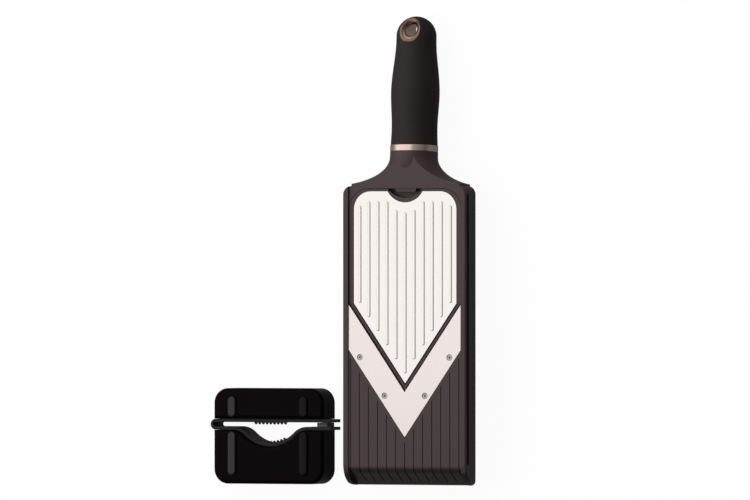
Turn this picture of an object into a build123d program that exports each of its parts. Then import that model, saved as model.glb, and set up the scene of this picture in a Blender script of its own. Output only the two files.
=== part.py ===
"""Hand-held V-blade mandoline slicer with a lift-out insert and a loose clamping hand guard.

The slicer lies on its foot and the belly of its handle, runway up. X runs across it,
Y along it towards the handle, Z up from the table. The origin is the middle of the foot's sole.
"""

import os
from math import atan2, cos, degrees, floor, radians, sin, sqrt, tan

from build123d import *

# Tray, the long moulding that carries everything. Lengths along it start at the nose.
TRAY_WIDTH = 109.0
TRAY_DEPTH = 20.0
TRAY_WALL = 3.0
RAIL_WIDTH = 4.6
RAIL_ROUND = 1.5
SIDE_GROOVE_DROP = 2.4
SIDE_GROOVE_HEIGHT = 4.0
SIDE_GROOVE_DEPTH = 1.2
NOSE_LENGTH = 17.0
NOSE_DEPTH = 18.0
NOSE_CORNER = 4.0
DECK_THICK = 3.0
RAMP_DROP = 1.2
RAMP_FLAT_AT = 12.0
RAMP_TOE = 0.2
RAMP_ROUND = 7.0
SLICE_STEP = 1.0
POCKET_END = 240.6
END_WALL = 2.0
SHOULDER_ROUND = 7.0
LEDGE_WIDTH = 5.0
LEDGE_THICK = 3.0
LEDGE_LENGTH = 92.0
END_LEDGE = 16.0
GROOVE_PITCH = 8.0
GROOVE_WIDTH = 0.9
GROOVE_DEPTH = 0.6
GROOVE_MARGIN = 5.0
GROOVE_END = 4.0

# V blade and its countersunk screws
BLADE_THICK = 1.2
BLADE_TIP = 75.6
BLADE_SLOPE = 1.428
BLADE_BAND = 36.4
BLADE_GRIND = 4.0
BLADE_EDGE = 0.25
BLADE_SIDE_GAP = 0.4
DECK_SETBACK = 0.8
SKIRT_LENGTH = 5.0
OUTER_SCREW_X = 39.6
INNER_SCREW_X = 17.8
SCREW_ABOVE_EDGE = 8.0
SCREW_R = 1.45
SCREW_HEAD_R = 2.0
SCREW_SUNK = 0.55
SCREW_LENGTH = 8.0
SCREW_SOCKET = 1.8
SCREW_SOCKET_DEPTH = 1.5
SCREW_GAP = 0.05
BOSS_WALL = 2.2

# Lift-out insert: a moulded frame with a ribbed steel plate let into it
INSERT_GAP = 0.4
SLICE_SLOT = 2.4
FRAME_THICK = 6.0
FRAME_RIM = 4.2
FRAME_V_RIM = 4.8
FRAME_TOP_RIM = 2.0
FRAME_SHELF = 7.0
PLATE_THICK = 0.8
PLATE_GAP = 0.5
PLATE_V_GAP = 1.8
PLATE_GAP_DEPTH = 3.2
PLATE_ROUND = 14.5
NOTCH_WIDTH = 31.0
NOTCH_DEPTH = 9.0
SCOOP_LIP = 3.6
RIB_WIDTH = 2.4
RIB_RISE = 0.8
RIB_ROUND = 0.55
RIB_MARGIN = 8.0

# Snap tongue above the finger notch, under a thin roof in the neck
TONGUE_COVER = 1.4
TONGUE_WIDTH = 18.0
TONGUE_REACH = 2.4
TONGUE_ROOT = 7.0
TONGUE_SEAT = 1.5
TONGUE_THICK = 1.8
TONGUE_GAP = 0.35
TONGUE_FLEX_ROOM = 1.8

# Handle, measured along its own axis from the upper edge of the metal band
NECK_REACH = 35.0
HANDLE_TILT = 3.0
AXIS_DROP = 20.6
GRIP_START_R = 19.1
GRIP_WAIST_AT = 15.0
GRIP_WAIST_R = 18.6
BELLY_AT = 44.4
BELLY_R = 19.75
GRIP_NECK_AT = 79.4
GRIP_NECK_R = 16.5
DOME_AT = 88.4
DOME_R = 16.3
SEAM_RISE = 4.8
SEAM_GAP = 0.3
BAND_LENGTH = 5.6
BAND_R = 19.5
BAND_WALL = 3.0
BAND_ROUND = 0.6
HANDLE_FIT = 0.1
NECK_COLLAR = 4.0
FLARE_R = 43.0
FLARE_DROP = 13.0
FLARE_SLOPE = 11.0
CORE_R = 12.6
TANG_WIDTH = 18.0
TANG_THICK = 7.0
TANG_LENGTH = 76.0
TANG_PIN_AT = 38.0
TANG_PIN_R = 2.5
EYELET_AT = 92.8
EYELET_HALF_WIDTH = 8.9
EYELET_HALF_LENGTH = 10.4
EYELET_PROUD = 0.55
EYELET_LIP = 3.4
HANG_BORE_R = 5.0
BELLY_LIFT = 0.05

# Foot under the nose, with a soft sole
FOOT_INSET = 26.0
FOOT_WIDTH = 70.0
FOOT_LENGTH = 18.0
FOOT_TAPER = 4.0
FOOT_ROUND = 5.0
FOOT_SEAT = 6.0
SOLE_THICK = 3.0
SOLE_ROUND = 0.8
FOOT_SCREW_X = 25.0
FOOT_SCREW_R = 2.0
FOOT_SCREW_HEAD_R = 3.6
FOOT_SCREW_HEAD = 2.6
FOOT_SCREW_BITE = 9.0
FOOT_BOSS_R = 5.0

# Loose hand guard, lying beside the nose: two hollow halves with toothed jaws
GUARD_GAP = 21.0
GUARD_WIDTH = 98.0
GUARD_HEIGHT = 24.0
GUARD_WALL = 2.2
GUARD_CORNER = 12.0
GUARD_TOP_ROUND = 3.0
GUARD_FIT = 0.15
FRONT_SHELL = 44.1
REAR_SHELL = 25.1
JAW_THICK = 2.6
JAW_HEIGHT = 20.0
JAW_SPACE = 3.6
JAW_TIP = 5.0
BOWL_R = 31.0
BOWL_LIP_R = 16.3
BOWL_SWEEP = 44.2
TOOTH_PITCH = 3.3
TOOTH_HEIGHT = 1.8
TOOTH_DEPTH = 3.5
TEETH = 9
RIDGE_X = 32.0
RIDGE_WIDTH = 7.6
RIDGE_RISE = 2.0
RIDGE_ROUND = 1.6
RIDGE_END_MARGIN = 6.5
RIDGE_JAW_MARGIN = 1.2
STOP_X = 44.0
STOP_LENGTH = 9.0
STOP_HEIGHT = 14.0
STOP_GAP = 0.3

# How far a cut runs past the face it opens
CUT_OVER = 1.0

# Heights and lengths that follow from the sizes above
tilt = radians(HANDLE_TILT)
axis_z = BELLY_LIFT + BELLY_R * cos(tilt) + BELLY_AT * sin(tilt)
rail_top = axis_z + AXIS_DROP
tray_bottom = rail_top - TRAY_DEPTH
ramp_z = rail_top - RAMP_DROP
plate_z = ramp_z - SLICE_STEP
tongue_z = plate_z - TONGUE_COVER
screw_z = ramp_z - SCREW_SUNK
deck_bottom = ramp_z - DECK_THICK
nose_z = rail_top - NOSE_DEPTH
frame_bottom = plate_z - FRAME_THICK
nose_y = -FOOT_INSET
pocket_end = nose_y + POCKET_END
shoulder_y = pocket_end + END_WALL
half_tray = TRAY_WIDTH / 2
half_channel = half_tray - RAIL_WIDTH
half_inside = half_tray - TRAY_WALL
ramp_end = nose_y + RAMP_FLAT_AT
toe_y = nose_y + RAMP_TOE
ramp_slope = atan2(ramp_z - tray_bottom, ramp_end - toe_y)

# The handle's own plane, x along its axis and y up, and planes square to it
handle_plane = Plane(
    origin=(0, pocket_end + NECK_REACH, axis_z),
    x_dir=(0, cos(tilt), -sin(tilt)),
    z_dir=(1, 0, 0),
)
handle_axis = Axis(handle_plane.origin, handle_plane.x_dir)
eyelet_plane = Plane(
    origin=handle_plane.from_local_coords((EYELET_AT, 0, 0)),
    x_dir=(1, 0, 0),
    z_dir=handle_plane.y_dir,
)
seam_plane = Plane(
    origin=handle_plane.from_local_coords((0, SEAM_RISE, 0)),
    x_dir=(1, 0, 0),
    z_dir=handle_plane.y_dir,
)
neck_at = -BAND_LENGTH
neck_length = NECK_REACH - BAND_LENGTH - END_WALL
neck_root = neck_at - neck_length - FLARE_R
spigot_r = BAND_R - BAND_WALL

# Blade, in plan a V band between the rails
blade_tip = nose_y + BLADE_TIP
band_tip = blade_tip - BLADE_BAND
half_blade = half_channel - BLADE_SIDE_GAP
screw_places = [
    (side * x, band_tip + BLADE_SLOPE * x + SCREW_ABOVE_EDGE)
    for x in (INNER_SCREW_X, OUTER_SCREW_X)
    for side in (-1, 1)
]

# Insert, in plan a pointed shield inside the pocket
half_frame = half_channel - INSERT_GAP
frame_tip = blade_tip + SLICE_SLOT
frame_top = pocket_end - INSERT_GAP
half_plate = half_frame - FRAME_RIM
plate_tip = frame_tip + FRAME_V_RIM
plate_top = frame_top - FRAME_TOP_RIM
frame_round = PLATE_ROUND + FRAME_TOP_RIM
pocket_round = frame_round + INSERT_GAP
notch_y = plate_top - NOTCH_DEPTH
notch_r = (NOTCH_WIDTH**2 / 4 + NOTCH_DEPTH**2) / (2 * NOTCH_DEPTH)

# Guard lines, from its front edge to its rear edge
guard_x = -half_tray - GUARD_GAP - JAW_TIP - GUARD_WIDTH / 2
half_guard = GUARD_WIDTH / 2
front_jaw_y = nose_y + FRONT_SHELL
slot_y = front_jaw_y + JAW_THICK
rear_jaw_y = slot_y + JAW_SPACE
rear_shell_y = rear_jaw_y + JAW_THICK
rear_end_y = rear_shell_y + REAR_SHELL
jaw_left = guard_x - half_guard
jaw_right = guard_x + half_guard + JAW_TIP
bowl_half = (BOWL_R + BOWL_LIP_R) * sin(radians(BOWL_SWEEP))
bowl_y = slot_y - BOWL_LIP_R + (BOWL_R + BOWL_LIP_R) * cos(radians(BOWL_SWEEP))


def ramp_end_line(depth, foot_z):
    """The ramp's break and its foot at foot_z, seen from the side and set in by depth."""
    break_y = ramp_end + depth * tan(ramp_slope / 2)
    foot_y = toe_y + depth / sin(ramp_slope) + (foot_z - tray_bottom) / tan(ramp_slope)
    return (break_y, ramp_z - depth), (foot_y, foot_z)


def shield(half_width, tip, top):
    """Pointed plan: a V at the nose end, straight sides and a square far end."""
    corner = tip + BLADE_SLOPE * half_width
    return Polyline(
        (0, tip),
        (half_width, corner),
        (half_width, top),
        (-half_width, top),
        (-half_width, corner),
        close=True,
    )


def v_band(half_width, tip, length):
    """Plan of a V band of even length along Y."""
    corner = tip + BLADE_SLOPE * half_width
    return Polyline(
        (0, tip),
        (half_width, corner),
        (half_width, corner + length),
        (0, tip + length),
        (-half_width, corner + length),
        (-half_width, corner),
        close=True,
    )


def grip_section():
    """Half section of the handle from its start to its domed end."""
    side = Spline(
        (0, GRIP_START_R),
        (GRIP_WAIST_AT, GRIP_WAIST_R),
        (BELLY_AT, BELLY_R),
        (GRIP_NECK_AT, GRIP_NECK_R),
        (DOME_AT, DOME_R),
        tangents=[(1, -0.05), (1, 0)],
    )
    dome = CenterArc((DOME_AT, 0), DOME_R, 0, 90)
    Polyline(dome @ 0, (0, 0), side @ 0)


def core_section(radius):
    """Half section of the handle's core: a bar with a domed end."""
    dome = CenterArc((DOME_AT, 0), radius, 0, 90)
    Polyline(dome @ 1, (0, radius), (0, 0), dome @ 0)


def bowl(drop):
    """The front jaw's dished curve from left to right, set back towards the front by drop."""
    lip_y = slot_y - BOWL_LIP_R
    left = CenterArc((guard_x - bowl_half, lip_y), BOWL_LIP_R - drop, 90, -BOWL_SWEEP)
    CenterArc((guard_x, bowl_y), BOWL_R + drop, 270 - BOWL_SWEEP, 2 * BOWL_SWEEP)
    right = CenterArc((guard_x + bowl_half, lip_y), BOWL_LIP_R - drop, 90 + BOWL_SWEEP, -BOWL_SWEEP)
    return left @ 0, right @ 1


def rib_top(x):
    """Upper end of a plate rib, a margin inside the plate's edge, its corner or its notch."""
    corner_x = half_plate - PLATE_ROUND
    edge = plate_top
    if abs(x) > corner_x:
        edge = plate_top - PLATE_ROUND + sqrt(PLATE_ROUND**2 - (abs(x) - corner_x) ** 2)
    if abs(x) < NOTCH_WIDTH / 2:
        edge = notch_y + notch_r - sqrt(notch_r**2 - x**2)
    return edge - RIB_MARGIN


# Neck: a flare turned about the handle's axis and cut flat, level with the plate
with BuildPart() as neck_flare:
    with BuildSketch(handle_plane):
        with BuildLine():
            flare = EllipticalCenterArc(
                (neck_at - NECK_COLLAR, BAND_R + FLARE_R),
                neck_length - NECK_COLLAR,
                FLARE_R,
                180,
                arc_size=90,
            )
            Polyline(
                flare @ 0,
                (neck_at - neck_length, TRAY_WIDTH),
                (neck_root, TRAY_WIDTH),
                (neck_root, 0),
                (neck_at, 0),
                (neck_at, BAND_R),
                flare @ 1,
            )
        make_face()
    revolve(axis=handle_axis)
    with Locations((0, pocket_end, plate_z)):
        Box(
            TRAY_WIDTH - 2 * SHOULDER_ROUND,
            NECK_REACH,
            plate_z - axis_z + FLARE_DROP,
            align=(Align.CENTER, Align.MIN, Align.MAX),
            mode=Mode.INTERSECT,
        )
    chamfer(neck_flare.edges().filter_by(Axis.X).group_by(Axis.Z)[0].sort_by(Axis.Y)[0], FLARE_SLOPE)

# Round fairing under the neck, which runs into the tray's end wall
with BuildPart() as neck_fairing:
    with BuildSketch(handle_plane):
        with BuildLine():
            fairing = EllipticalCenterArc(
                (neck_at, 0), neck_length + END_WALL + CUT_OVER, BAND_R, 90, arc_size=90
            )
            Polyline(fairing @ 1, (neck_at, 0), fairing @ 0)
        make_face()
    revolve(axis=handle_axis)
    with Locations((0, pocket_end, 0)):
        Box(
            TRAY_WIDTH,
            NECK_REACH,
            2 * rail_top,
            align=(Align.CENTER, Align.MIN, Align.CENTER),
            mode=Mode.INTERSECT,
        )

# Tray: rails, nose, grooved ramp, blade seat, insert pocket, neck and tang in one moulding
with BuildPart() as tray:
    with BuildSketch(Plane.YZ):
        with BuildLine():
            nose = EllipticalCenterArc(
                (nose_y + NOSE_LENGTH, nose_z), NOSE_LENGTH, NOSE_DEPTH, 90, arc_size=90
            )
            Polyline(
                nose @ 1,
                (nose_y, tray_bottom),
                (shoulder_y, tray_bottom),
                (shoulder_y, rail_top),
                nose @ 0,
            )
        make_face()
    extrude(amount=half_tray, both=True)
    fillet(tray.edges().filter_by(Axis.Z).group_by(Axis.Y)[-1], SHOULDER_ROUND)
    fillet(
        tray.edges().filter_by(
            lambda edge: edge.center().Z > nose_z
            and edge.bounding_box().size.Y > RAIL_ROUND
            and edge.bounding_box().size.X < half_tray
        ),
        RAIL_ROUND,
    )
    # Front corners, rounded in plan
    with BuildSketch(Plane.XY.offset(tray_bottom)) as corner_plan:
        with Locations((0, nose_y)):
            Rectangle(TRAY_WIDTH, shoulder_y - nose_y, align=(Align.CENTER, Align.MIN))
        fillet(corner_plan.vertices().group_by(Axis.Y)[0], NOSE_CORNER)
    extrude(amount=TRAY_DEPTH, mode=Mode.INTERSECT)
    # Channel between the rails, down to the ramp, which breaks into a steep front
    with BuildSketch(Plane.YZ) as channel_section:
        with BuildLine():
            Polyline(
                *ramp_end_line(0, tray_bottom - CUT_OVER),
                (nose_y - CUT_OVER, tray_bottom - CUT_OVER),
                (nose_y - CUT_OVER, rail_top + CUT_OVER),
                (pocket_end, rail_top + CUT_OVER),
                (pocket_end, ramp_z),
                close=True,
            )
        make_face()
        fillet(channel_section.vertices().sort_by_distance((ramp_end, ramp_z))[0], RAMP_ROUND)
    extrude(amount=half_channel, both=True, mode=Mode.SUBTRACT)
    # Hollow underside
    with BuildSketch(Plane.YZ):
        with BuildLine():
            Polyline(
                *ramp_end_line(DECK_THICK, tray_bottom - CUT_OVER),
                (pocket_end - pocket_round, tray_bottom - CUT_OVER),
                (pocket_end - pocket_round, deck_bottom),
                close=True,
            )
        make_face()
    extrude(amount=half_inside, both=True, mode=Mode.SUBTRACT)
    # Open pocket for the insert, which is also the way the slices fall
    with BuildSketch(Plane.XY.offset(tray_bottom)) as pocket_plan:
        with BuildLine():
            shield(half_channel, blade_tip - DECK_SETBACK, pocket_end)
        make_face()
        fillet(pocket_plan.vertices().group_by(Axis.Y)[-1], pocket_round)
    extrude(amount=TRAY_DEPTH + CUT_OVER, mode=Mode.SUBTRACT)
    # Shoulder between the rail ends, level with the plate
    with Locations((0, pocket_end - pocket_round, plate_z)):
        Box(
            2 * half_channel,
            pocket_round + END_WALL + CUT_OVER,
            RAMP_DROP + SLICE_STEP + CUT_OVER,
            align=(Align.CENTER, Align.MIN, Align.MIN),
            mode=Mode.SUBTRACT,
        )
    # Groove along the outside of each rail, just under its top
    with Locations((0, nose_y + NOSE_LENGTH, rail_top - SIDE_GROOVE_DROP)):
        with GridLocations(TRAY_WIDTH, 1, 2, 1):
            Box(
                2 * SIDE_GROOVE_DEPTH,
                shoulder_y - SHOULDER_ROUND - nose_y - NOSE_LENGTH,
                SIDE_GROOVE_HEIGHT,
                align=(Align.CENTER, Align.MIN, Align.MAX),
                mode=Mode.SUBTRACT,
            )
    # Ledges that the insert sits on
    with Locations((0, pocket_end - LEDGE_LENGTH / 2, frame_bottom - LEDGE_THICK / 2)):
        with GridLocations(2 * half_inside - LEDGE_WIDTH, LEDGE_LENGTH, 2, 1):
            Box(LEDGE_WIDTH, LEDGE_LENGTH, LEDGE_THICK)
    with Locations((0, pocket_end, frame_bottom)):
        Box(
            2 * half_inside,
            END_LEDGE,
            LEDGE_THICK,
            align=(Align.CENTER, Align.MAX, Align.MAX),
        )
    # Skirt that stiffens the deck's edge under the blade
    with BuildSketch(Plane.XY.offset(frame_bottom)):
        with BuildLine():
            v_band(half_inside, blade_tip - DECK_SETBACK - SKIRT_LENGTH, SKIRT_LENGTH)
        make_face()
    extrude(amount=deck_bottom - frame_bottom)
    # Screw bosses under the deck, for the blade and for the foot
    with Locations(*[(x, y, ramp_z - BLADE_THICK) for x, y in screw_places]):
        Cylinder(
            SCREW_R + BOSS_WALL,
            SCREW_LENGTH - BLADE_THICK + BOSS_WALL,
            align=(Align.CENTER, Align.CENTER, Align.MAX),
        )
    with Locations((0, 0, tray_bottom)):
        with GridLocations(2 * FOOT_SCREW_X, 1, 2, 1):
            Cylinder(
                FOOT_BOSS_R,
                deck_bottom - tray_bottom,
                align=(Align.CENTER, Align.CENTER, Align.MIN),
            )
            Cylinder(
                FOOT_SCREW_R + SCREW_GAP,
                FOOT_SCREW_BITE + CUT_OVER,
                align=(Align.CENTER, Align.CENTER, Align.MIN),
                mode=Mode.SUBTRACT,
            )
    # Grooves from short of the blade down the ramp and over the nose
    groove_sides = floor((half_channel - GROOVE_WIDTH) / GROOVE_PITCH)
    for step in range(-groove_sides, groove_sides + 1):
        groove_x = GROOVE_PITCH * step
        groove_top = band_tip + BLADE_SLOPE * abs(groove_x) - GROOVE_MARGIN
        with BuildSketch(Plane.YZ.offset(groove_x)) as groove_section:
            with BuildLine():
                Polyline(
                    (groove_top, rail_top),
                    (groove_top, ramp_z - GROOVE_DEPTH),
                    *ramp_end_line(GROOVE_DEPTH, tray_bottom + GROOVE_END),
                    (nose_y - CUT_OVER, tray_bottom + GROOVE_END),
                    (nose_y - CUT_OVER, rail_top),
                    close=True,
                )
            make_face()
            groove_break = groove_section.vertices().sort_by_distance((ramp_end, ramp_z))[0]
            fillet(groove_break, RAMP_ROUND - GROOVE_DEPTH)
        extrude(amount=GROOVE_WIDTH / 2, both=True, mode=Mode.SUBTRACT)
    # Seat of the blade and its screw holes
    with BuildSketch(Plane.XY.offset(ramp_z - BLADE_THICK)):
        with BuildLine():
            v_band(half_channel, band_tip - BLADE_SIDE_GAP, BLADE_BAND)
        make_face()
    extrude(amount=BLADE_THICK + CUT_OVER, mode=Mode.SUBTRACT)
    with Locations(*[(x, y, ramp_z) for x, y in screw_places]):
        Cylinder(
            SCREW_R + SCREW_GAP,
            SCREW_SUNK + SCREW_LENGTH + SCREW_GAP,
            align=(Align.CENTER, Align.CENTER, Align.MAX),
            mode=Mode.SUBTRACT,
        )
    # Neck, spigot for the metal band, and tang
    add(neck_flare.part)
    add(neck_fairing.part)
    with BuildSketch(handle_plane):
        with Locations((neck_at / 2, 0)):
            Rectangle(BAND_LENGTH, 2 * spigot_r)
        split(bisect_by=Plane.XZ)
    revolve(axis=handle_axis)
    with BuildSketch(handle_plane):
        with Locations((neck_at, 0)):
            Rectangle(TANG_LENGTH - neck_at, TANG_THICK, align=(Align.MIN, Align.CENTER))
    extrude(amount=TANG_WIDTH / 2, both=True)
    with BuildSketch(handle_plane):
        with Locations((TANG_PIN_AT, 0)):
            Circle(TANG_PIN_R + SCREW_GAP)
    extrude(amount=TANG_WIDTH, both=True, mode=Mode.SUBTRACT)
    # Pocket of the snap tongue, with room under it to flex and a seat at its root
    with Locations((0, pocket_end - CUT_OVER, tongue_z + TONGUE_GAP)):
        Box(
            TONGUE_WIDTH + 2 * TONGUE_GAP,
            END_WALL + TONGUE_ROOT + TONGUE_GAP + CUT_OVER,
            TONGUE_GAP + TONGUE_THICK,
            align=(Align.CENTER, Align.MIN, Align.MAX),
            mode=Mode.SUBTRACT,
        )
        Box(
            TONGUE_WIDTH + 2 * TONGUE_GAP,
            END_WALL + TONGUE_ROOT - TONGUE_SEAT + CUT_OVER,
            TONGUE_GAP + TONGUE_THICK + TONGUE_FLEX_ROOM,
            align=(Align.CENTER, Align.MIN, Align.MAX),
            mode=Mode.SUBTRACT,
        )

# V blade: one steel band, ground along its two upper edges
with BuildPart() as v_blade:
    with BuildSketch(Plane.XY.offset(ramp_z - BLADE_THICK)):
        with BuildLine():
            v_band(half_blade, band_tip, BLADE_BAND)
        make_face()
    extrude(amount=BLADE_THICK)
    cutting_edges = v_blade.faces().sort_by(Axis.Z)[0].edges().filter_by(
        lambda edge: edge.center().Y > band_tip + BLADE_SLOPE * abs(edge.center().X) + BLADE_BAND / 2
        and edge.bounding_box().size.X > BLADE_BAND
    )
    chamfer(cutting_edges, BLADE_THICK - BLADE_EDGE, BLADE_GRIND)
    with Locations(*[(x, y, ramp_z) for x, y in screw_places]):
        CounterSinkHole(
            SCREW_R + SCREW_GAP,
            SCREW_HEAD_R + SCREW_SUNK + SCREW_GAP,
            counter_sink_angle=90,
        )

# Four countersunk screws that hold the blade
with BuildPart() as blade_screws:
    with Locations(*[(x, y, screw_z) for x, y in screw_places]):
        Cylinder(SCREW_R, SCREW_LENGTH, align=(Align.CENTER, Align.CENTER, Align.MAX))
        Cone(
            SCREW_R,
            SCREW_HEAD_R,
            SCREW_HEAD_R - SCREW_R,
            align=(Align.CENTER, Align.CENTER, Align.MAX),
        )
    with BuildSketch(Plane.XY.offset(screw_z)):
        with Locations(*screw_places):
            RegularPolygon(SCREW_SOCKET / 2, 6, major_radius=False)
    extrude(amount=-SCREW_SOCKET_DEPTH, mode=Mode.SUBTRACT)

# Insert frame: a moulded shield with a recess for the plate, a finger notch and an open middle
with BuildPart() as insert_frame:
    with BuildSketch(Plane.XY.offset(frame_bottom)) as frame_plan:
        with BuildLine():
            shield(half_frame, frame_tip, frame_top)
        make_face()
        fillet(frame_plan.vertices().group_by(Axis.Y)[-1], frame_round)
    extrude(amount=FRAME_THICK)
    with BuildSketch(Plane.XY.offset(plate_z - PLATE_THICK)) as recess_plan:
        with BuildLine():
            shield(half_plate + PLATE_GAP, plate_tip - PLATE_V_GAP, plate_top + PLATE_GAP)
        make_face()
        fillet(recess_plan.vertices().group_by(Axis.Y)[-1], PLATE_ROUND + PLATE_GAP)
    extrude(amount=PLATE_THICK + CUT_OVER, mode=Mode.SUBTRACT)
    with BuildSketch(Plane.XY.offset(plate_z - PLATE_GAP_DEPTH)):
        with BuildLine():
            v_band(half_plate + PLATE_GAP, plate_tip - PLATE_V_GAP, PLATE_V_GAP)
        make_face()
    extrude(amount=PLATE_GAP_DEPTH + CUT_OVER, mode=Mode.SUBTRACT)
    with BuildSketch(Plane.XY.offset(frame_bottom)) as window_plan:
        with BuildLine():
            shield(
                half_plate - FRAME_SHELF,
                plate_tip + BLADE_SLOPE * FRAME_SHELF,
                notch_y - FRAME_SHELF,
            )
        make_face()
        fillet(window_plan.vertices().group_by(Axis.Y)[-1], PLATE_ROUND)
    extrude(amount=FRAME_THICK, mode=Mode.SUBTRACT)
    with BuildSketch(Plane.XY.offset(frame_bottom)):
        with BuildLine():
            ThreePointArc(
                (-NOTCH_WIDTH / 2, frame_top),
                (0, notch_y + SCOOP_LIP),
                (NOTCH_WIDTH / 2, frame_top),
            )
            Line((NOTCH_WIDTH / 2, frame_top), (-NOTCH_WIDTH / 2, frame_top))
        make_face()
    extrude(amount=FRAME_THICK, mode=Mode.SUBTRACT)

# Insert plate: thin steel with pressed ribs, notched for a fingertip
rib_count = floor((half_plate - RIB_WIDTH) / GROOVE_PITCH)
with BuildPart() as insert_plate:
    with BuildSketch(Plane.XY.offset(plate_z - PLATE_THICK)) as plate_plan:
        with BuildLine():
            shield(half_plate, plate_tip, plate_top)
        make_face()
        fillet(plate_plan.vertices().group_by(Axis.Y)[-1], PLATE_ROUND)
        with BuildLine():
            ThreePointArc((-NOTCH_WIDTH / 2, plate_top), (0, notch_y), (NOTCH_WIDTH / 2, plate_top))
            Line((NOTCH_WIDTH / 2, plate_top), (-NOTCH_WIDTH / 2, plate_top))
        make_face(mode=Mode.SUBTRACT)
    extrude(amount=PLATE_THICK)
    with BuildSketch(Plane.XY.offset(plate_z)):
        for step in range(-rib_count, rib_count + 1):
            x = step * GROOVE_PITCH
            low = plate_tip + BLADE_SLOPE * abs(x) + RIB_MARGIN
            high = rib_top(x)
            with Locations(Location((x, (low + high) / 2, 0), (0, 0, 90))):
                SlotOverall(high - low, RIB_WIDTH)
    extrude(amount=RIB_RISE)
    fillet(insert_plate.faces().sort_by(Axis.Z)[-1 - 2 * rib_count:].edges(), RIB_ROUND)

# Snap tongue: a thin strip that bends at its root to free the insert
with BuildPart() as snap_tongue:
    with Locations((0, frame_top - TONGUE_REACH, tongue_z)):
        Box(
            TONGUE_WIDTH,
            shoulder_y + TONGUE_ROOT - frame_top + TONGUE_REACH,
            TONGUE_THICK,
            align=(Align.CENTER, Align.MIN, Align.MAX),
        )
    fillet(snap_tongue.edges().filter_by(Axis.Z).group_by(Axis.Y)[0], TONGUE_THICK)

# Metal band between neck and grip
with BuildPart() as ferrule_band:
    with BuildSketch(handle_plane) as band_section:
        with Locations((neck_at / 2, BAND_R)):
            Rectangle(
                BAND_LENGTH - 2 * HANDLE_FIT,
                BAND_WALL - HANDLE_FIT,
                align=(Align.CENTER, Align.MAX),
            )
        fillet(band_section.vertices().group_by(Axis.Y)[-1], BAND_ROUND)
    revolve(axis=handle_axis)

# Handle core: a hard bar over the tang, bored for the pin and the eyelet
with BuildPart() as handle_core:
    with BuildSketch(handle_plane):
        with BuildLine():
            core_section(CORE_R)
        make_face()
    revolve(axis=handle_axis)
    with BuildSketch(handle_plane):
        with Locations((-CUT_OVER, 0)):
            Rectangle(
                TANG_LENGTH + CUT_OVER + HANDLE_FIT,
                TANG_THICK + 2 * HANDLE_FIT,
                align=(Align.MIN, Align.CENTER),
            )
    extrude(amount=TANG_WIDTH / 2 + HANDLE_FIT, both=True, mode=Mode.SUBTRACT)
    with BuildSketch(handle_plane):
        with Locations((TANG_PIN_AT, 0)):
            Circle(TANG_PIN_R + SCREW_GAP)
    extrude(amount=BAND_R, both=True, mode=Mode.SUBTRACT)
    with BuildSketch(eyelet_plane):
        Ellipse(EYELET_HALF_WIDTH + HANDLE_FIT, EYELET_HALF_LENGTH + HANDLE_FIT)
    extrude(amount=BAND_R, both=True, mode=Mode.SUBTRACT)

# Cross pin through core and tang
with BuildPart() as tang_pin:
    with BuildSketch(handle_plane):
        with Locations((TANG_PIN_AT, 0)):
            Circle(TANG_PIN_R)
    extrude(amount=CORE_R - BOSS_WALL, both=True)

# Soft grip in two moulded halves that meet along a seam
with BuildPart() as grip_front:
    with BuildSketch(handle_plane):
        with BuildLine():
            grip_section()
        make_face()
        with BuildLine():
            core_section(CORE_R + HANDLE_FIT)
        make_face(mode=Mode.SUBTRACT)
    revolve(axis=handle_axis)
    with BuildSketch(eyelet_plane):
        Ellipse(EYELET_HALF_WIDTH + HANDLE_FIT, EYELET_HALF_LENGTH + HANDLE_FIT)
    extrude(amount=BAND_R, both=True, mode=Mode.SUBTRACT)
    split(bisect_by=seam_plane.offset(SEAM_GAP / 2), keep=Keep.TOP)

with BuildPart() as grip_back:
    with BuildSketch(handle_plane):
        with BuildLine():
            grip_section()
        make_face()
        with BuildLine():
            core_section(CORE_R + HANDLE_FIT)
        make_face(mode=Mode.SUBTRACT)
    revolve(axis=handle_axis)
    with BuildSketch(eyelet_plane):
        Ellipse(EYELET_HALF_WIDTH + HANDLE_FIT, EYELET_HALF_LENGTH + HANDLE_FIT)
    extrude(amount=BAND_R, both=True, mode=Mode.SUBTRACT)
    split(bisect_by=seam_plane.offset(-SEAM_GAP / 2), keep=Keep.BOTTOM)

# Hanging eyelet: a metal liner through the domed end, rolled over at both mouths
with BuildPart() as hang_eyelet:
    with Locations(handle_plane.from_local_coords((DOME_AT, 0, 0))):
        Sphere(DOME_R + EYELET_PROUD, rotation=(90, 0, 0))
    with BuildSketch(eyelet_plane):
        Ellipse(EYELET_HALF_WIDTH, EYELET_HALF_LENGTH)
    extrude(amount=BAND_R, both=True, mode=Mode.INTERSECT)
    with BuildSketch(eyelet_plane):
        Circle(HANG_BORE_R)
    extrude(amount=BAND_R, both=True, mode=Mode.SUBTRACT)
    bore_wall = hang_eyelet.faces().filter_by(GeomType.CYLINDER).sort_by(lambda face: face.radius)[0]
    fillet(bore_wall.edges().filter_by(lambda edge: edge.geom_type != GeomType.LINE), EYELET_LIP)

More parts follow.
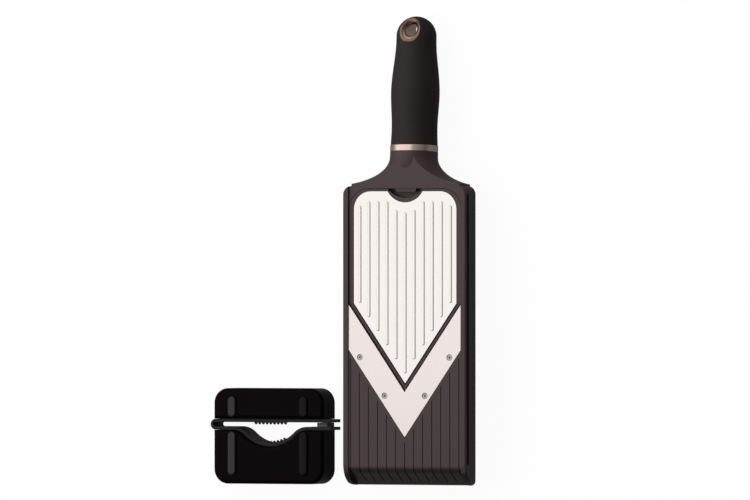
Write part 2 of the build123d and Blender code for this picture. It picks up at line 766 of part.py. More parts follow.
# Foot block under the nose, screwed up into the tray, and its soft sole
with BuildPart() as nose_foot:
    with BuildSketch(Plane.XY.offset(SOLE_THICK)):
        RectangleRounded(FOOT_WIDTH, FOOT_LENGTH, FOOT_ROUND)
    extrude(amount=tray_bottom - SOLE_THICK, taper=-FOOT_TAPER)
    with BuildSketch(Plane.XY.offset(tray_bottom)):
        with GridLocations(2 * FOOT_SCREW_X, 1, 2, 1):
            Circle(FOOT_SCREW_R + SCREW_GAP)
    extrude(amount=-tray_bottom, mode=Mode.SUBTRACT)
    with BuildSketch(Plane.XY.offset(tray_bottom - FOOT_SEAT)):
        with GridLocations(2 * FOOT_SCREW_X, 1, 2, 1):
            Circle(FOOT_SCREW_HEAD_R + HANDLE_FIT)
    extrude(amount=-tray_bottom, mode=Mode.SUBTRACT)

with BuildPart() as foot_sole:
    with BuildSketch():
        RectangleRounded(FOOT_WIDTH, FOOT_LENGTH, FOOT_ROUND)
    extrude(amount=SOLE_THICK)
    fillet(foot_sole.faces().sort_by(Axis.Z)[0].edges(), SOLE_ROUND)

with BuildPart() as foot_screws:
    with Locations((0, 0, tray_bottom - FOOT_SEAT)):
        with GridLocations(2 * FOOT_SCREW_X, 1, 2, 1):
            Cylinder(
                FOOT_SCREW_R,
                FOOT_SEAT + FOOT_SCREW_BITE,
                align=(Align.CENTER, Align.CENTER, Align.MIN),
            )
            Cylinder(
                FOOT_SCREW_HEAD_R,
                FOOT_SCREW_HEAD,
                align=(Align.CENTER, Align.CENTER, Align.MAX),
            )

# Guard, front half: a hollow shell dished along the jaw, with two grip ridges
with BuildPart() as guard_front_shell:
    with BuildSketch() as front_plan:
        with BuildLine():
            dish_left, dish_right = bowl(JAW_THICK + GUARD_FIT)
            Polyline(
                dish_left,
                (guard_x - half_guard, front_jaw_y - GUARD_FIT),
                (guard_x - half_guard, nose_y),
                (guard_x + half_guard, nose_y),
                (guard_x + half_guard, front_jaw_y - GUARD_FIT),
                dish_right,
            )
        make_face()
        fillet(front_plan.vertices().group_by(Axis.Y)[0], GUARD_CORNER)
    extrude(amount=GUARD_HEIGHT)
    fillet(guard_front_shell.faces().sort_by(Axis.Z)[-1].edges(), GUARD_TOP_ROUND)
    with BuildSketch() as front_hollow:
        with BuildLine():
            dish_left, dish_right = bowl(JAW_THICK + GUARD_FIT + GUARD_WALL)
            Polyline(
                dish_left,
                (guard_x - half_guard + GUARD_WALL, front_jaw_y - GUARD_FIT - GUARD_WALL),
                (guard_x - half_guard + GUARD_WALL, nose_y + GUARD_WALL),
                (guard_x + half_guard - GUARD_WALL, nose_y + GUARD_WALL),
                (guard_x + half_guard - GUARD_WALL, front_jaw_y - GUARD_FIT - GUARD_WALL),
                dish_right,
            )
        make_face()
        fillet(front_hollow.vertices().group_by(Axis.Y)[0], GUARD_CORNER - GUARD_WALL)
    extrude(amount=GUARD_HEIGHT - GUARD_TOP_ROUND, mode=Mode.SUBTRACT)
    ridge_low = nose_y + RIDGE_END_MARGIN
    ridge_high = front_jaw_y - RIDGE_JAW_MARGIN
    with BuildSketch(Plane.XY.offset(GUARD_HEIGHT - GUARD_TOP_ROUND)):
        with Locations((guard_x, (ridge_low + ridge_high) / 2)):
            with GridLocations(2 * RIDGE_X, 1, 2, 1):
                SlotOverall(ridge_high - ridge_low, RIDGE_WIDTH, rotation=90)
    extrude(amount=GUARD_TOP_ROUND + RIDGE_RISE)
    fillet(guard_front_shell.faces().sort_by(Axis.Z)[-2:].edges(), RIDGE_ROUND)

# Guard, rear half: a plain hollow shell with two shorter ridges
with BuildPart() as guard_rear_shell:
    with BuildSketch() as rear_plan:
        with Locations((guard_x, rear_shell_y + GUARD_FIT)):
            Rectangle(GUARD_WIDTH, REAR_SHELL - GUARD_FIT, align=(Align.CENTER, Align.MIN))
        fillet(rear_plan.vertices().group_by(Axis.Y)[-1], GUARD_CORNER)
    extrude(amount=GUARD_HEIGHT)
    fillet(guard_rear_shell.faces().sort_by(Axis.Z)[-1].edges(), GUARD_TOP_ROUND)
    with BuildSketch() as rear_hollow:
        with Locations((guard_x, rear_shell_y + GUARD_FIT + GUARD_WALL)):
            Rectangle(
                GUARD_WIDTH - 2 * GUARD_WALL,
                REAR_SHELL - GUARD_FIT - 2 * GUARD_WALL,
                align=(Align.CENTER, Align.MIN),
            )
        fillet(rear_hollow.vertices().group_by(Axis.Y)[-1], GUARD_CORNER - GUARD_WALL)
    extrude(amount=GUARD_HEIGHT - GUARD_TOP_ROUND, mode=Mode.SUBTRACT)
    ridge_low = rear_shell_y + RIDGE_JAW_MARGIN
    ridge_high = rear_end_y - RIDGE_END_MARGIN
    with BuildSketch(Plane.XY.offset(GUARD_HEIGHT - GUARD_TOP_ROUND)):
        with Locations((guard_x, (ridge_low + ridge_high) / 2)):
            with GridLocations(2 * RIDGE_X, 1, 2, 1):
                SlotOverall(ridge_high - ridge_low, RIDGE_WIDTH, rotation=90)
    extrude(amount=GUARD_TOP_ROUND + RIDGE_RISE)
    fillet(guard_rear_shell.faces().sort_by(Axis.Z)[-2:].edges(), RIDGE_ROUND)

# Front jaw: a springy strip on edge, dished to take round food, toothed along the dish
with BuildPart() as guard_front_jaw:
    with BuildSketch():
        with BuildLine():
            dish_left, dish_right = bowl(0)
            back_left, back_right = bowl(JAW_THICK)
            Polyline(dish_right, (jaw_right, slot_y), (jaw_right, front_jaw_y), back_right)
            Polyline(dish_left, (jaw_left, slot_y), (jaw_left, front_jaw_y), back_left)
        make_face()
    extrude(amount=JAW_HEIGHT)
    with BuildSketch(Plane.XY.offset(JAW_HEIGHT)):
        for step in range(TEETH):
            lean = (step - (TEETH - 1) / 2) * TOOTH_PITCH / BOWL_R
            root = (guard_x + BOWL_R * sin(lean), bowl_y - BOWL_R * cos(lean))
            with Locations(Location((*root, 0), (0, 0, degrees(lean)))):
                Polygon(
                    (-TOOTH_PITCH / 2, -JAW_THICK / 2),
                    (TOOTH_PITCH / 2, -JAW_THICK / 2),
                    (0, TOOTH_HEIGHT),
                    align=None,
                )
    extrude(amount=-TOOTH_DEPTH)

# Rear jaw: a straight strip on edge with teeth facing the dish
with BuildPart() as guard_rear_jaw:
    with BuildSketch():
        with Locations((jaw_left, rear_jaw_y)):
            Rectangle(jaw_right - jaw_left, JAW_THICK, align=(Align.MIN, Align.MIN))
    extrude(amount=JAW_HEIGHT)
    with BuildSketch(Plane.XY.offset(JAW_HEIGHT)):
        with Locations((guard_x, rear_jaw_y)):
            with GridLocations(TOOTH_PITCH, 1, TEETH, 1):
                Polygon(
                    (-TOOTH_PITCH / 2, JAW_THICK / 2),
                    (0, -TOOTH_HEIGHT),
                    (TOOTH_PITCH / 2, JAW_THICK / 2),
                    align=None,
                )
    extrude(amount=-TOOTH_DEPTH)

# Spring loop that joins the two jaws at the left and bends when they open
with BuildPart() as guard_spring_loop:
    with BuildSketch():
        with Locations((jaw_left, slot_y + JAW_SPACE / 2)):
            Circle(JAW_SPACE / 2 + JAW_THICK)
            Circle(JAW_SPACE / 2, mode=Mode.SUBTRACT)
        with Locations((jaw_left, slot_y + JAW_SPACE / 2)):
            Rectangle(
                JAW_SPACE + 2 * JAW_THICK,
                JAW_SPACE + 2 * JAW_THICK,
                align=(Align.MIN, Align.CENTER),
                mode=Mode.SUBTRACT,
            )
    extrude(amount=JAW_HEIGHT)

# Stop between the jaw tips, which sets how far the jaws close
with BuildPart() as guard_stop:
    with Locations((guard_x + STOP_X, slot_y, 0)):
        Box(
            STOP_LENGTH,
            JAW_SPACE - STOP_GAP,
            STOP_HEIGHT,
            align=(Align.CENTER, Align.MIN, Align.MIN),
        )

os.makedirs("parts", exist_ok=True)
pieces = {
    "tray": tray,
    "v_blade": v_blade,
    "blade_screws": blade_screws,
    "insert_frame": insert_frame,
    "insert_plate": insert_plate,
    "snap_tongue": snap_tongue,
    "ferrule_band": ferrule_band,
    "handle_core": handle_core,
    "tang_pin": tang_pin,
    "grip_front": grip_front,
    "grip_back": grip_back,
    "hang_eyelet": hang_eyelet,
    "nose_foot": nose_foot,
    "foot_sole": foot_sole,
    "foot_screws": foot_screws,
    "guard_front_shell": guard_front_shell,
    "guard_rear_shell": guard_rear_shell,
    "guard_front_jaw": guard_front_jaw,
    "guard_rear_jaw": guard_rear_jaw,
    "guard_spring_loop": guard_spring_loop,
    "guard_stop": guard_stop,
}
for name, piece in pieces.items():
    piece.part.label = name
    export_step(piece.part, f"parts/{name}.step")
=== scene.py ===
from math import pi, radians

import bmesh
import bpy
from mathutils import Matrix, Vector


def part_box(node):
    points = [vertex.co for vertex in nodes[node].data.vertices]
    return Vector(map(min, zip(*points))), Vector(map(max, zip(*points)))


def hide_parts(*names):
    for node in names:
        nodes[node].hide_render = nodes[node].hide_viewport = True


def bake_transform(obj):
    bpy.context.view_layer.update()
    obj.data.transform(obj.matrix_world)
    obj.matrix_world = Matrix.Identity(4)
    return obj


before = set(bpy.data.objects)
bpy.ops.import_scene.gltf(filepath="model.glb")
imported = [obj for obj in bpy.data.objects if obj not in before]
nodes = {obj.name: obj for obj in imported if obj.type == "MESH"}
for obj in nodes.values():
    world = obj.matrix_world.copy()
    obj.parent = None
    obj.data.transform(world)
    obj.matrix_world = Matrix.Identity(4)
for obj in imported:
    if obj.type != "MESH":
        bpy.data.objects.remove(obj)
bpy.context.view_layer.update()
scene = bpy.context.scene


# Tray: the long moulding with rails, rounded nose, grooved ramp, insert pocket and neck.
# It is a glass-filled plastic, warm black. Its grooves, nose, sides and pocket are painted in a
# deeper copy of that colour as painted shade; only the upper faces and the neck keep the plain
# colour.
TRAY_COLOUR = (0.060, 0.031, 0.034, 1.0)
TRAY_PAINTED_SHADE = (0.022, 0.009, 0.011, 1.0)
TRAY_ROUGHNESS = 0.42
PAINTED_SHADE_FULL_DEPTH = 0.0005
PAINTED_SHADE_START_DEPTH = 0.0001
POCKET_BLEND = 0.020
NECK_BLEND = 0.006
CLOUD_SCALE = 38.0
CLOUD_DETAIL = 3.0
SMEAR_SCALE = 70.0
SMEAR_DETAIL = 4.0
MOULD_DETAIL = 2.0
MOULD_DEPTH = 0.0002


def moulded_skin_group():
    """Skin of a moulded plastic: faint cloudy colour, uneven gloss and a fine mould texture."""
    group = bpy.data.node_groups.new("moulded_skin", "ShaderNodeTree")
    face = group.interface
    face.new_socket("Colour", in_out="INPUT", socket_type="NodeSocketColor")
    for number in ("Cloud", "Gloss", "Gloss Spread", "Grain Scale"):
        face.new_socket(number, in_out="INPUT", socket_type="NodeSocketFloat")
    face.new_socket("Colour", in_out="OUTPUT", socket_type="NodeSocketColor")
    for number in ("Roughness", "Height"):
        face.new_socket(number, in_out="OUTPUT", socket_type="NodeSocketFloat")
    tree, wire = group.nodes, group.links.new
    inlet = tree.new("NodeGroupInput")
    outlet = tree.new("NodeGroupOutput")
    place = tree.new("ShaderNodeTexCoord")

    cloud = tree.new("ShaderNodeTexNoise")
    cloud.inputs["Scale"].default_value = CLOUD_SCALE
    cloud.inputs["Detail"].default_value = CLOUD_DETAIL
    wire(place.outputs["Object"], cloud.inputs["Vector"])
    shade = tree.new("ShaderNodeMath")
    shade.operation = "MULTIPLY_ADD"
    shade.inputs[2].default_value = 1.0
    wire(cloud.outputs["Fac"], shade.inputs[0])
    wire(inlet.outputs["Cloud"], shade.inputs[1])
    tint = tree.new("ShaderNodeVectorMath")
    tint.operation = "SCALE"
    wire(inlet.outputs["Colour"], tint.inputs[0])
    wire(shade.outputs["Value"], tint.inputs["Scale"])
    wire(tint.outputs["Vector"], outlet.inputs["Colour"])

    smear = tree.new("ShaderNodeTexNoise")
    smear.inputs["Scale"].default_value = SMEAR_SCALE
    smear.inputs["Detail"].default_value = SMEAR_DETAIL
    wire(place.outputs["Object"], smear.inputs["Vector"])
    swing = tree.new("ShaderNodeMath")
    swing.operation = "MULTIPLY_ADD"
    wire(smear.outputs["Fac"], swing.inputs[0])
    wire(inlet.outputs["Gloss Spread"], swing.inputs[1])
    wire(inlet.outputs["Gloss"], swing.inputs[2])
    wire(swing.outputs["Value"], outlet.inputs["Roughness"])

    grain = tree.new("ShaderNodeTexNoise")
    grain.inputs["Detail"].default_value = MOULD_DETAIL
    wire(place.outputs["Object"], grain.inputs["Vector"])
    wire(inlet.outputs["Grain Scale"], grain.inputs["Scale"])
    wire(grain.outputs["Fac"], outlet.inputs["Height"])
    return group


moulded_skin = moulded_skin_group()


def finish_with(skin_group, name, colour, roughness, spread, relief, depth):
    """A material whose colour, gloss and relief come from a shared skin."""
    finish = bpy.data.materials.new(name)
    finish.use_nodes = True
    tree, wire = finish.node_tree.nodes, finish.node_tree.links.new
    shader = tree["Principled BSDF"]
    skin = tree.new("ShaderNodeGroup")
    skin.name = "skin"
    skin.node_tree = skin_group
    skin.inputs["Colour"].default_value = colour
    skin.inputs["Gloss"].default_value = roughness - spread / 2
    skin.inputs["Gloss Spread"].default_value = spread
    wire(skin.outputs["Colour"], shader.inputs["Base Color"])
    wire(skin.outputs["Roughness"], shader.inputs["Roughness"])
    bump = tree.new("ShaderNodeBump")
    bump.inputs["Strength"].default_value = relief
    bump.inputs["Distance"].default_value = depth
    wire(skin.outputs["Height"], bump.inputs["Height"])
    wire(bump.outputs["Normal"], shader.inputs["Normal"])
    return finish


def moulded_plastic(
    name, colour, roughness, spread=0.06, cloud=0.25, grain=2200.0, relief=0.08, specular=0.5
):
    """A plastic finish on the moulded skin."""
    finish = finish_with(moulded_skin, name, colour, roughness, spread, relief, MOULD_DEPTH)
    tree = finish.node_tree.nodes
    tree["skin"].inputs["Cloud"].default_value = cloud
    tree["skin"].inputs["Grain Scale"].default_value = grain
    tree["Principled BSDF"].inputs["Specular IOR Level"].default_value = specular
    return finish


tray_finish = moulded_plastic("tray_plastic", TRAY_COLOUR, TRAY_ROUGHNESS)


def fade(tree, wire, source, low, high, start=0.0, end=1.0):
    """A value that runs from start to end while the source runs from low to high."""
    run = tree.new("ShaderNodeMapRange")
    run.inputs["From Min"].default_value = low
    run.inputs["From Max"].default_value = high
    run.inputs["To Min"].default_value = start
    run.inputs["To Max"].default_value = end
    wire(source, run.inputs["Value"])
    return run.outputs["Result"]


def two_tones(tree, wire, mask, first, second):
    """A colour that goes from the first tone to the second as the mask rises."""
    tone = tree.new("ShaderNodeMix")
    tone.data_type = "RGBA"
    colour_sockets = [socket for socket in tone.inputs if socket.type == "RGBA"]
    for socket, colour in zip(colour_sockets, (first, second)):
        socket.default_value = colour
    wire(mask, tone.inputs["Factor"])
    return next(socket for socket in tone.outputs if socket.type == "RGBA")


blade_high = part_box("v_blade")[1]
frame_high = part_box("insert_frame")[1]
blend_start = blade_high.y
blend_end = blade_high.y + POCKET_BLEND
tree, wire = tray_finish.node_tree.nodes, tray_finish.node_tree.links.new
place = tree.new("ShaderNodeTexCoord")
axes = tree.new("ShaderNodeSeparateXYZ")
wire(place.outputs["Object"], axes.inputs["Vector"])
# Painted shade: below the ramp's level, which rises to the frame's top towards the pocket, the
# tray takes the deep colour; the neck behind the frame stays plain.
level = fade(
    tree, wire, axes.outputs["Y"], blend_start, blend_end, start=blade_high.z, end=frame_high.z
)
above = tree.new("ShaderNodeMath")
above.operation = "SUBTRACT"
wire(axes.outputs["Z"], above.inputs[0])
wire(level, above.inputs[1])
upper = fade(tree, wire, above.outputs["Value"], -PAINTED_SHADE_FULL_DEPTH, -PAINTED_SHADE_START_DEPTH)
behind = fade(tree, wire, axes.outputs["Y"], frame_high.y, frame_high.y + NECK_BLEND)
free_of_painted_shade = tree.new("ShaderNodeMath")
free_of_painted_shade.operation = "MAXIMUM"
wire(upper, free_of_painted_shade.inputs[0])
wire(behind, free_of_painted_shade.inputs[1])
tray_colour_with_painted_shade = two_tones(tree, wire, free_of_painted_shade.outputs["Value"], TRAY_PAINTED_SHADE, TRAY_COLOUR)
wire(tray_colour_with_painted_shade, tree["skin"].inputs["Colour"])


def dress(finish, *pieces):
    """Gives pieces a finish in place of the plain one that they come with."""
    for piece in pieces:
        nodes[piece].data.materials.clear()
        nodes[piece].data.materials.append(finish)


dress(tray_finish, "tray")


# V blade: one stamped band of stainless steel, let into the ramp, its two upper edges ground thin.
# The sheet is fine-brushed along the slicer, so its gloss is drawn out in that direction.
BLADE_COLOUR = (0.83, 0.75, 0.735, 1.0)
BLADE_ROUGHNESS = 0.28
BLADE_LINES = (2600.0, 60.0, 2600.0)
BRUSH_DETAIL = 3.0
BRUSH_TONE = 0.025
BRUSH_DEPTH = 0.0001


def brushed_grain_group():
    """Brushed steel: long fine lines in the gloss and the height, and a faint change of tone."""
    group = bpy.data.node_groups.new("brushed_grain", "ShaderNodeTree")
    face = group.interface
    face.new_socket("Colour", in_out="INPUT", socket_type="NodeSocketColor")
    for number in ("Gloss", "Gloss Spread"):
        face.new_socket(number, in_out="INPUT", socket_type="NodeSocketFloat")
    face.new_socket("Lines", in_out="INPUT", socket_type="NodeSocketVector")
    face.new_socket("Colour", in_out="OUTPUT", socket_type="NodeSocketColor")
    for number in ("Roughness", "Height"):
        face.new_socket(number, in_out="OUTPUT", socket_type="NodeSocketFloat")
    tree, wire = group.nodes, group.links.new
    inlet = tree.new("NodeGroupInput")
    outlet = tree.new("NodeGroupOutput")
    place = tree.new("ShaderNodeTexCoord")
    stretch = tree.new("ShaderNodeVectorMath")
    stretch.operation = "MULTIPLY"
    wire(place.outputs["Object"], stretch.inputs[0])
    wire(inlet.outputs["Lines"], stretch.inputs[1])
    lines = tree.new("ShaderNodeTexNoise")
    lines.inputs["Scale"].default_value = 1.0
    lines.inputs["Detail"].default_value = BRUSH_DETAIL
    wire(stretch.outputs["Vector"], lines.inputs["Vector"])
    wire(lines.outputs["Fac"], outlet.inputs["Height"])
    swing = tree.new("ShaderNodeMath")
    swing.operation = "MULTIPLY_ADD"
    wire(lines.outputs["Fac"], swing.inputs[0])
    wire(inlet.outputs["Gloss Spread"], swing.inputs[1])
    wire(inlet.outputs["Gloss"], swing.inputs[2])
    wire(swing.outputs["Value"], outlet.inputs["Roughness"])
    shade = fade(
        tree, wire, lines.outputs["Fac"], 0.0, 1.0, start=1.0 - BRUSH_TONE, end=1.0 + BRUSH_TONE
    )
    tint = tree.new("ShaderNodeVectorMath")
    tint.operation = "SCALE"
    wire(inlet.outputs["Colour"], tint.inputs[0])
    wire(shade, tint.inputs["Scale"])
    wire(tint.outputs["Vector"], outlet.inputs["Colour"])
    return group


brushed_grain = brushed_grain_group()


def brushed_metal(name, colour, roughness, spread, lines, relief):
    """A metal finish on the brushed grain."""
    finish = finish_with(brushed_grain, name, colour, roughness, spread, relief, BRUSH_DEPTH)
    tree = finish.node_tree.nodes
    tree["skin"].inputs["Lines"].default_value = lines
    tree["Principled BSDF"].inputs["Metallic"].default_value = 1.0
    return finish


blade_finish = brushed_metal(
    "blade_steel", BLADE_COLOUR, BLADE_ROUGHNESS, spread=0.06, lines=BLADE_LINES, relief=0.02
)
dress(blade_finish, "v_blade")


# Blade screws: four small countersunk hex screws through the blade into bosses under the ramp.
# They are plain turned steel, darker than the blade and marked alike in every direction.
SCREW_COLOUR = (0.46, 0.43, 0.42, 1.0)
SCREW_ROUGHNESS = 0.34
SCREW_LINES = (1500.0, 1500.0, 1500.0)
screw_finish = brushed_metal(
    "screw_steel", SCREW_COLOUR, SCREW_ROUGHNESS, spread=0.08, lines=SCREW_LINES, relief=0.05
)
dress(screw_finish, "blade_screws")


# Insert frame: a moulded shield that drops into the pocket and sets the thickness of the slice.
# It is the tray's own plastic, a shade smoother from a polished mould.
INSERT_ROUGHNESS = 0.40
insert_finish = moulded_plastic("insert_plastic", TRAY_COLOUR, INSERT_ROUGHNESS)
dress(insert_finish, "insert_frame")


# Insert plate: thin stainless sheet with pressed ribs, bonded into the frame's recess.
# It is bright and brushed along the ribs, like the blade but a touch lighter.
PLATE_COLOUR = (0.865, 0.825, 0.80, 1.0)
PLATE_ROUGHNESS = 0.24
PLATE_LINES = (2400.0, 50.0, 2400.0)
plate_finish = brushed_metal(
    "plate_steel", PLATE_COLOUR, PLATE_ROUGHNESS, spread=0.06, lines=PLATE_LINES, relief=0.02
)
dress(plate_finish, "insert_plate")


# Snap tongue: a thin moulded strip at the neck that bends down to free the insert.
# It is the same plastic as the insert frame and has the frame's smoother skin.
dress(insert_finish, "snap_tongue")


# Band: a turned ring between neck and grip, slid over the neck's spigot.
# It is polished metal plated in a bronze tone, with only the finest polishing marks.
BRONZE_COLOUR = (0.74, 0.575, 0.50, 1.0)
BRONZE_ROUGHNESS = 0.26
POLISH_MARKS = (900.0, 900.0, 900.0)
bronze_finish = brushed_metal(
    "bronze_plate", BRONZE_COLOUR, BRONZE_ROUGHNESS, spread=0.05, lines=POLISH_MARKS, relief=0.02
)
dress(bronze_finish, "ferrule_band")


# Hanging eyelet: a rolled metal liner through the handle's end, pressed in from both sides.
# Its plating is the band's bronze, with painted shade darkening the lips and a painted highlight
# brightening the bore.
LIP_PAINTED_SHADE = (0.19, 0.13, 0.108, 1.0)
EYELET_ROUGHNESS = 0.13
BORE_PAINTED_HIGHLIGHT = (0.85, 0.64, 0.52, 1.0)
BORE_RADIUS = 0.0052
LIP_RADIUS = 0.0064
eyelet_finish = brushed_metal(
    "bronze_painted_shade_and_highlight", LIP_PAINTED_SHADE, EYELET_ROUGHNESS, spread=0.04, lines=POLISH_MARKS, relief=0.02
)
eyelet_low, eyelet_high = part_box("hang_eyelet")
tree, wire = eyelet_finish.node_tree.nodes, eyelet_finish.node_tree.links.new
place = tree.new("ShaderNodeTexCoord")
from_middle = tree.new("ShaderNodeVectorMath")
from_middle.operation = "SUBTRACT"
from_middle.inputs[1].default_value = (eyelet_low + eyelet_high) / 2
wire(place.outputs["Object"], from_middle.inputs[0])
from_axis = tree.new("ShaderNodeVectorMath")
from_axis.operation = "MULTIPLY"
from_axis.inputs[1].default_value = (1.0, 1.0, 0.0)
wire(from_middle.outputs["Vector"], from_axis.inputs[0])
radius = tree.new("ShaderNodeVectorMath")
radius.operation = "LENGTH"
wire(from_axis.outputs["Vector"], radius.inputs[0])
# Painted shade on the lips and a painted highlight in the bore, blended by distance from the
# eyelet's axis.
lip = fade(tree, wire, radius.outputs["Value"], BORE_RADIUS, LIP_RADIUS)
wire(two_tones(tree, wire, lip, BORE_PAINTED_HIGHLIGHT, LIP_PAINTED_SHADE), tree["skin"].inputs["Colour"])
dress(eyelet_finish, "hang_eyelet")


# Handle core and its pin: a hard plastic bar over the tray's tang, held by a steel cross pin.
# Both are closed in by the grip, so they stay plain.
CORE_COLOUR = (0.05, 0.05, 0.05, 1.0)
CORE_ROUGHNESS = 0.5
core_finish = moulded_plastic("core_plastic", CORE_COLOUR, CORE_ROUGHNESS)
dress(core_finish, "handle_core")
dress(screw_finish, "tang_pin")


# Grip: two halves of soft-touch rubber moulded over the core, meeting along a seam at each side.
# The rubber is a dull warm black with a fine, velvety grain.
GRIP_COLOUR = (0.022, 0.0140, 0.0150, 1.0)
GRIP_ROUGHNESS = 0.60
grip_finish = moulded_plastic(
    "soft_grip",
    GRIP_COLOUR,
    GRIP_ROUGHNESS,
    spread=0.10,
    cloud=0.35,
    grain=3200.0,
    relief=0.16,
    specular=0.3,
)
dress(grip_finish, "grip_front", "grip_back")


# Foot: a plastic block screwed up under the nose, with a rubber sole bonded to it.
# The block is the tray's plastic, the sole a dull black rubber, the screws plain steel.
SOLE_COLOUR = (0.02, 0.02, 0.02, 1.0)
SOLE_ROUGHNESS = 0.75
sole_finish = moulded_plastic(
    "sole_rubber", SOLE_COLOUR, SOLE_ROUGHNESS, grain=1400.0, relief=0.25
)
# The block sits below the ramp's level, so it takes the tray finish's painted shade all over.
dress(tray_finish, "nose_foot")
dress(sole_finish, "foot_sole")
dress(screw_finish, "foot_screws")


# Guard shells: two hollow gloss-black mouldings with grip ridges.
# The plastic comes from a polished mould, so it is smooth and deep black.
# Thumb and fingers rub the ridges to a brighter polish, the left pair most.
GUARD_COLOUR = (0.0040, 0.0020, 0.0025, 1.0)
GUARD_ROUGHNESS = 0.22
RIDGE_RISE = 0.002
LEFT_POLISH = 1.0
RIGHT_POLISH = 0.0
POLISH_ROUGHNESS = 0.16
guard_finish = moulded_plastic(
    "guard_plastic",
    GUARD_COLOUR,
    GUARD_ROUGHNESS,
    cloud=0.2,
    grain=1600.0,
    relief=0.02,
    specular=0.03,
)
shell_low, shell_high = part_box("guard_front_shell")
ridge_foot = shell_high.z - RIDGE_RISE
ridge_middle = shell_high.z - RIDGE_RISE / 2
tree, wire = guard_finish.node_tree.nodes, guard_finish.node_tree.links.new
place = tree.new("ShaderNodeTexCoord")
axes = tree.new("ShaderNodeSeparateXYZ")
wire(place.outputs["Object"], axes.inputs["Vector"])
raised = fade(tree, wire, axes.outputs["Z"], ridge_foot, ridge_middle)
handed = fade(
    tree, wire, axes.outputs["X"], shell_low.x, shell_high.x, start=LEFT_POLISH, end=RIGHT_POLISH
)
polish = tree.new("ShaderNodeMath")
polish.operation = "MULTIPLY"
wire(raised, polish.inputs[0])
wire(handed, polish.inputs[1])
wire(polish.outputs["Value"], tree["Principled BSDF"].inputs["Coat Weight"])
tree["Principled BSDF"].inputs["Coat Roughness"].default_value = POLISH_ROUGHNESS
dress(guard_finish, "guard_front_shell", "guard_rear_shell")


# Guard jaws: two thin toothed strips on edge along the shells, one dished and one straight.
# They are a springy black plastic with a duller skin than the shells.
JAW_COLOUR = (0.011, 0.009, 0.009, 1.0)
JAW_ROUGHNESS = 0.40
jaw_finish = moulded_plastic(
    "jaw_plastic", JAW_COLOUR, JAW_ROUGHNESS, grain=1800.0, relief=0.04, specular=0.25
)
dress(jaw_finish, "guard_front_jaw", "guard_rear_jaw")


# Spring loop: the thin half ring that joins the two jaws at their left end.
# It is moulded with them in one springy plastic that bends when the jaws are pulled open; the mesh
# here is built in one fixed shape.
LOOP_STEPS = 24
LOOP_EDGE = 0.0004
LOOP_EDGE_STEPS = 2
RIM_ANGLE = radians(60.0)
HAIR_WIDTH = 1e-6
loop_low, loop_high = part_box("guard_spring_loop")
loop_centre = Vector((loop_high.x, (loop_low.y + loop_high.y) / 2, 0.0))
loop_outer = loop_high.x - loop_low.x
loop_inner = loop_centre.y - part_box("guard_stop")[0].y
shape = bmesh.new()
corners = [
    shape.verts.new((loop_centre.x, loop_centre.y - reach, height))
    for reach, height in (
        (loop_inner, loop_low.z),
        (loop_outer, loop_low.z),
        (loop_outer, loop_high.z),
        (loop_inner, loop_high.z),
    )
]
section = shape.faces.new(corners)
bmesh.ops.spin(
    shape,
    geom=[section],
    cent=loop_centre,
    axis=(0.0, 0.0, -1.0),
    angle=pi,
    steps=LOOP_STEPS,
    use_merge=False,
    use_duplicate=False,
)
bmesh.ops.remove_doubles(shape, verts=shape.verts, dist=HAIR_WIDTH)
bmesh.ops.recalc_face_normals(shape, faces=shape.faces)
rims = [
    edge
    for edge in shape.edges
    if len(edge.link_faces) == 2
    and edge.calc_face_angle(0.0) > RIM_ANGLE
    and abs(edge.verts[0].co.z - edge.verts[1].co.z) < HAIR_WIDTH
]
bmesh.ops.bevel(
    shape,
    geom=rims,
    offset=LOOP_EDGE,
    segments=LOOP_EDGE_STEPS,
    profile=0.5,
    affect="EDGES",
    material=-1,
)
loop_mesh = bpy.data.meshes.new("spring_loop")
shape.to_mesh(loop_mesh)
shape.free()
loop_mesh.shade_smooth()
loop_mesh.materials.append(jaw_finish)
spring_loop = bpy.data.objects.new("spring_loop", loop_mesh)
scene.collection.objects.link(spring_loop)
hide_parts("guard_spring_loop")
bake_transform(spring_loop)


# Guard stop: a small pale block moulded on the front jaw, which the rear jaw closes against.
# It is plain uncoloured plastic with a dull skin.
STOP_COLOUR = (0.17, 0.155, 0.15, 1.0)
STOP_ROUGHNESS = 0.5
stop_finish = moulded_plastic("stop_plastic", STOP_COLOUR, STOP_ROUGHNESS)
dress(stop_finish, "guard_stop")


# Floor: a broad white sheet under the set, which keeps only a faint shadow of it.
# The camera sees it white, gloss and clear materials see a small share of that white,
# and other light meets a plain pale surface.
FLOOR_HALF = 6.0
FLOOR_GLOW = 0.90
FLOOR_BRIGHT = 1.05
FLOOR_IN_GLOSS = 0.12
FLOOR_PALE = 0.22
FLOOR_WHITE = 0.95
floor_finish = bpy.data.materials.new("white_floor")
floor_finish.use_nodes = True
tree, wire = floor_finish.node_tree.nodes, floor_finish.node_tree.links.new
tree.remove(tree["Principled BSDF"])
paper = tree.new("ShaderNodeBsdfDiffuse")
glow = tree.new("ShaderNodeEmission")
glow.inputs["Strength"].default_value = FLOOR_BRIGHT
path = tree.new("ShaderNodeLightPath")
by_camera = path.outputs["Is Camera Ray"]
wire(fade(tree, wire, by_camera, 0.0, 1.0, FLOOR_PALE, FLOOR_WHITE), paper.inputs["Color"])
mirrored = tree.new("ShaderNodeMath")
mirrored.operation = "MAXIMUM"
wire(path.outputs["Is Glossy Ray"], mirrored.inputs[0])
wire(path.outputs["Is Transmission Ray"], mirrored.inputs[1])
in_gloss = tree.new("ShaderNodeMath")
in_gloss.operation = "MULTIPLY"
in_gloss.inputs[1].default_value = FLOOR_IN_GLOSS
wire(mirrored.outputs["Value"], in_gloss.inputs[0])
seen = tree.new("ShaderNodeMath")
seen.operation = "MAXIMUM"
wire(by_camera, seen.inputs[0])
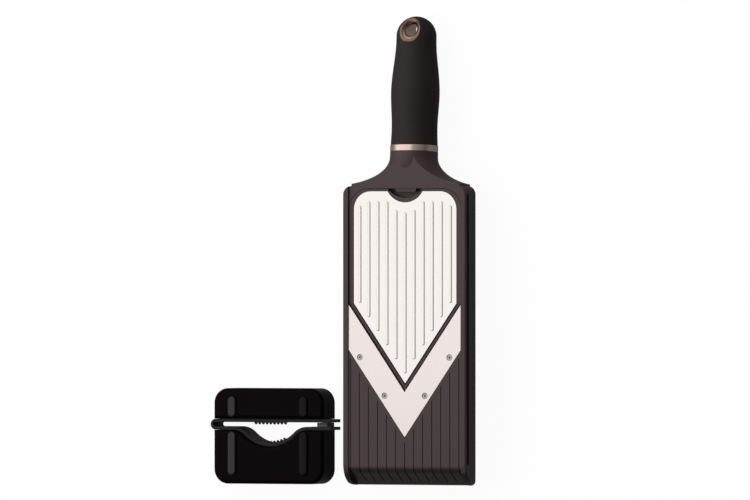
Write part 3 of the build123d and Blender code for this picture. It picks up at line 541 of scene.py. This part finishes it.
wire(in_gloss.outputs["Value"], seen.inputs[1])
share = tree.new("ShaderNodeMath")
share.operation = "MULTIPLY"
share.inputs[1].default_value = FLOOR_GLOW
wire(seen.outputs["Value"], share.inputs[0])
blend = tree.new("ShaderNodeMixShader")
wire(share.outputs["Value"], blend.inputs["Fac"])
wire(paper.outputs["BSDF"], blend.inputs[1])
wire(glow.outputs["Emission"], blend.inputs[2])
wire(blend.outputs["Shader"], tree["Material Output"].inputs["Surface"])
sheet = bmesh.new()
bmesh.ops.create_grid(sheet, x_segments=2, y_segments=2, size=FLOOR_HALF)
floor_mesh = bpy.data.meshes.new("floor")
sheet.to_mesh(floor_mesh)
sheet.free()
floor_mesh.materials.append(floor_finish)
floor = bpy.data.objects.new("floor", floor_mesh)
scene.collection.objects.link(floor)


# Studio light: a soft room, brightest to the left and beyond the handle, with a large softbox
# above the slicer and a smaller lamp at the left.
# The softbox is what the flat steel mirrors towards the camera.
WHITE = (1.0, 1.0, 1.0, 1.0)
ROOM_BRIGHT_SIDE = Vector((-0.55, 0.70, 0.45))
ROOM_FALL_FROM = -0.7
ROOM_FALL_TO = 0.9
ROOM_DIM = 0.02
ROOM_BRIGHT = 0.56
LAMP_POWER = 2.0
room = bpy.data.worlds.new("studio_room")
room.use_nodes = True
scene.world = room
tree, wire = room.node_tree.nodes, room.node_tree.links.new
sky = tree["Background"]
sky.inputs["Color"].default_value = WHITE
backdrop = tree.new("ShaderNodeBackground")
backdrop.inputs["Color"].default_value = WHITE
backdrop.inputs["Strength"].default_value = 1.0
heading = tree.new("ShaderNodeTexCoord")
towards = tree.new("ShaderNodeVectorMath")
towards.operation = "DOT_PRODUCT"
towards.inputs[1].default_value = ROOM_BRIGHT_SIDE.normalized()
wire(heading.outputs["Generated"], towards.inputs[0])
fall = fade(
    tree, wire, towards.outputs["Value"], ROOM_FALL_FROM, ROOM_FALL_TO, ROOM_DIM, ROOM_BRIGHT
)
wire(fall, sky.inputs["Strength"])
path = tree.new("ShaderNodeLightPath")
blend = tree.new("ShaderNodeMixShader")
wire(path.outputs["Is Camera Ray"], blend.inputs["Fac"])
wire(sky.outputs["Background"], blend.inputs[1])
wire(backdrop.outputs["Background"], blend.inputs[2])
wire(blend.outputs["Shader"], tree["World Output"].inputs["Surface"])


def studio_lamp(name, width, length, place, tilt):
    """A flat lamp on its stand, tilted about the slicer's length."""
    lamp = bpy.data.lights.new(name, "AREA")
    lamp.shape = "RECTANGLE"
    lamp.size = width
    lamp.size_y = length
    lamp.energy = LAMP_POWER * width * length
    stand = bpy.data.objects.new(name, lamp)
    stand.location = place
    stand.rotation_euler = (0.0, tilt, 0.0)
    scene.collection.objects.link(stand)


studio_lamp("softbox", width=1.7, length=1.9, place=(-0.55, 0.80, 1.1), tilt=radians(-20.0))
studio_lamp("side_lamp", width=0.5, length=1.2, place=(-1.2, 0.15, 0.55), tilt=radians(-68.0))


# Camera: square to the slicer's length and turned a little to its right side, with a long lens.
# Its distance follows from the lens and from the width of the set that fills the picture.
CAMERA_TURN = radians(24.0)
CAMERA_AIM = Vector((-0.0249, 0.1647, 0.0444))
VIEW_WIDTH = 0.6075
LENS_LENGTH = 600.0
SENSOR_WIDTH = 36.0
lens = bpy.data.cameras.new("camera")
lens.lens = LENS_LENGTH
lens.sensor_width = SENSOR_WIDTH
camera = bpy.data.objects.new("camera", lens)
camera.rotation_euler = (0.0, CAMERA_TURN, 0.0)
away = Matrix.Rotation(CAMERA_TURN, 3, "Y") @ Vector((0.0, 0.0, 1.0))
camera.location = CAMERA_AIM + away * (VIEW_WIDTH * LENS_LENGTH / SENSOR_WIDTH)
scene.collection.objects.link(camera)
scene.camera = camera
scene.view_settings.view_transform = "Standard"
